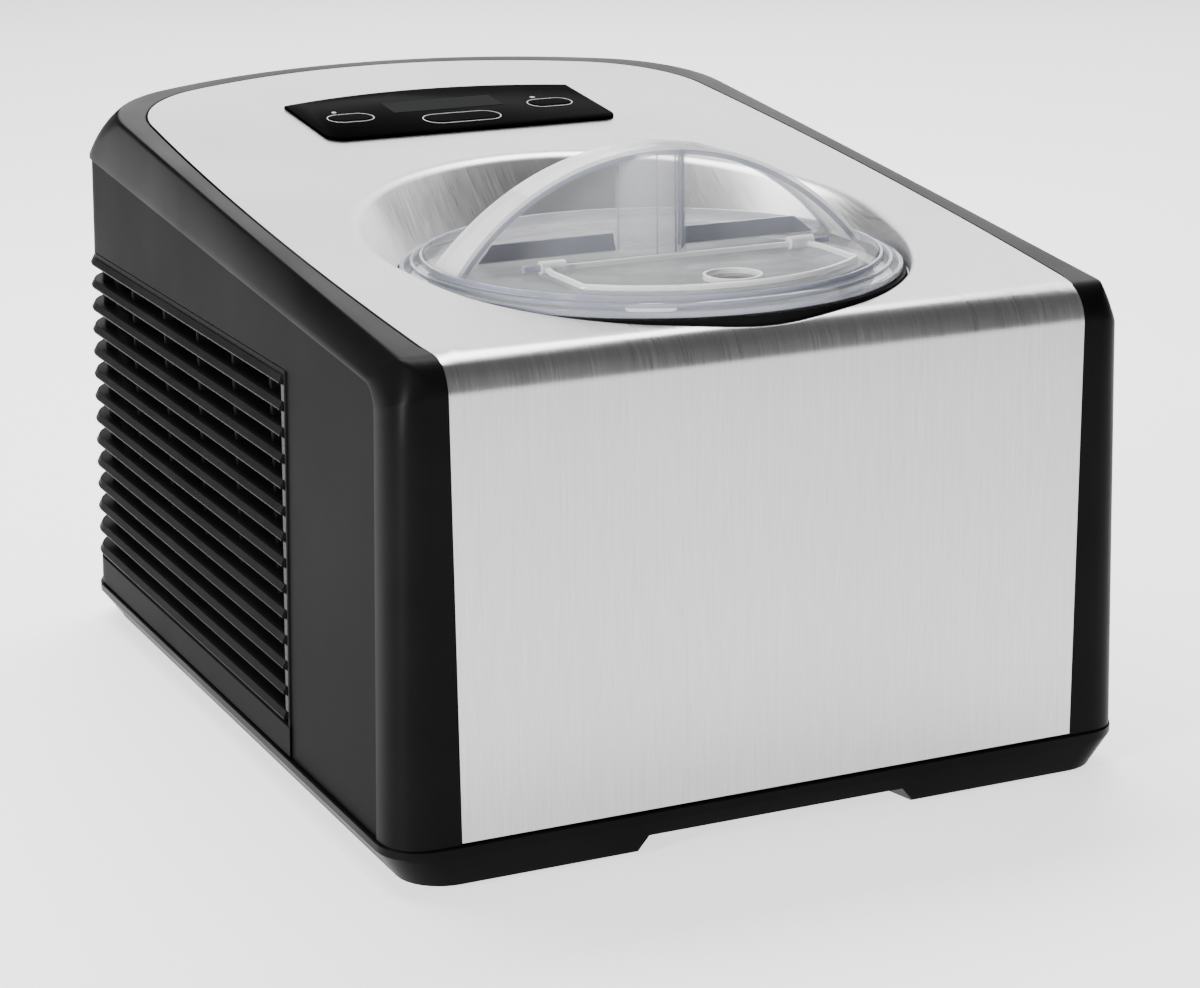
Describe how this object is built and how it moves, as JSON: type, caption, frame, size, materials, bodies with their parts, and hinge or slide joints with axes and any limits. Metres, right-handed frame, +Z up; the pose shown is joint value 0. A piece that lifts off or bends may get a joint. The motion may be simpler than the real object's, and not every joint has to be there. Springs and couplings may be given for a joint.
{
  "type": "ice cream maker",
  "caption": "Countertop ice cream maker with a steel-topped black housing, louvred sides, a removable bowl and paddle, and a clear arched lid with a flap.",
  "frame": {"origin": "on the standing surface, under the middle of the machine", "axes": "+Z up, front towards -Y, +X to the right seen from the front"},
  "size_m": [0.3116, 0.42, 0.2468],
  "materials": {
    "black_shell": "satin black moulded plastic",
    "gloss_black": "polished black panel",
    "brushed_steel": "brushed stainless sheet",
    "black_rubber": "soft rubber",
    "bare_aluminium": "spun aluminium, satin",
    "copper_pipe": "drawn copper tube, bright",
    "foam": "blown foam",
    "grey_plastic": "glass-filled plastic",
    "white_plastic": "acetal, unpainted",
    "motor_steel": "zinc-plated steel",
    "black_paint": "black stove enamel",
    "clear_plastic": "clear moulded plastic",
    "display_glass": "unlit liquid crystal window",
    "board": "green circuit board",
    "shaft_steel": "ground steel",
    "cable": "insulated wires"
  },
  "bodies": {
    "body": {"base_tray": "black_shell", "feet": "black_rubber", "housing": "black_shell", "rear_cover": "black_shell", "steel_cover": "brushed_steel", "well_seal": "black_rubber", "freezing_cup": "bare_aluminium", "evaporator_coil": "copper_pipe", "insulation": "foam", "gearbox_case": "grey_plastic", "gearbox_cover": "grey_plastic", "shaft_bush": "white_plastic", "drive_motor": "motor_steel", "compressor": "black_paint", "compressor_grommets": "black_rubber", "terminal_cover": "grey_plastic", "discharge_pipe": "copper_pipe", "suction_pipe": "copper_pipe", "capillary_pipe": "copper_pipe", "filter_drier": "copper_pipe", "condenser_fins": "bare_aluminium", "condenser_tube": "copper_pipe", "fan_shroud": "grey_plastic", "fan_motor": "motor_steel", "control_panel": "gloss_black", "display": "display_glass", "indicator_lights": "white_plastic", "control_board": "board", "cord_gland": "black_rubber", "wiring_loom": "cable", "base_screws": "shaft_steel", "gearbox_screws": "shaft_steel"},
    "pinion": {"motor_pinion": "shaft_steel"},
    "shaft": {"output_gear": "white_plastic", "drive_shaft": "shaft_steel"},
    "fan": {"fan_blade": "grey_plastic"},
    "power_key": {"power_button": "gloss_black"},
    "timer_key": {"timer_button": "gloss_black"},
    "start_key": {"start_button": "gloss_black"},
    "bowl": {"mixing_bowl": "bare_aluminium"},
    "paddle": {"paddle": "white_plastic"},
    "lid": {"lid": "clear_plastic", "flap_pin": "clear_plastic"},
    "flap": {"ingredient_flap": "clear_plastic"}
  },
  "joints": [
    {"name": "shaft_spin", "type": "hinge", "parent": "body", "child": "shaft", "pos_m": [0, -0.1023, 0.018], "axis": [0, 0, 1], "continuous": true},
    {"name": "pinion_spin", "type": "hinge", "parent": "body", "child": "pinion", "pos_m": [0.05225, -0.1023, 0.018], "axis": [0, 0, 1], "continuous": true},
    {"name": "fan_spin", "type": "hinge", "parent": "body", "child": "fan", "pos_m": [-0.087, 0.0754, 0.0816], "axis": [1, 0, 0], "continuous": true},
    {"name": "bowl_lift", "type": "slide", "parent": "body", "child": "bowl", "axis": [0, 0, 1], "range_m": [0, 0.16]},
    {"name": "paddle_spin", "type": "hinge", "parent": "bowl", "child": "paddle", "pos_m": [0, -0.1023, 0.15], "axis": [0, 0, 1], "continuous": true},
    {"name": "lid_lift", "type": "slide", "parent": "bowl", "child": "lid", "axis": [0, 0, 1], "range_m": [0, 0.08]},
    {"name": "flap_hinge", "type": "hinge", "parent": "lid", "child": "flap", "pos_m": [0, -0.1263, 0.2068], "axis": [-1, 0, 0], "range_deg": [0, 95]},
    {"name": "power_press", "type": "slide", "parent": "body", "child": "power_key", "axis": [0, 0.1184, -0.993], "range_m": [0, 0.001], "stiffness_N_per_m": 400},
    {"name": "timer_press", "type": "slide", "parent": "body", "child": "timer_key", "axis": [0, 0.1184, -0.993], "range_m": [0, 0.001], "stiffness_N_per_m": 400},
    {"name": "start_press", "type": "slide", "parent": "body", "child": "start_key", "axis": [0, 0.1184, -0.993], "range_m": [0, 0.001], "stiffness_N_per_m": 400}
  ],
  "couplings": [
    {"joint": "pinion_spin", "follows": "shaft_spin", "ratio": -3.3333},
    {"joint": "paddle_spin", "follows": "shaft_spin", "ratio": 1}
  ]
}
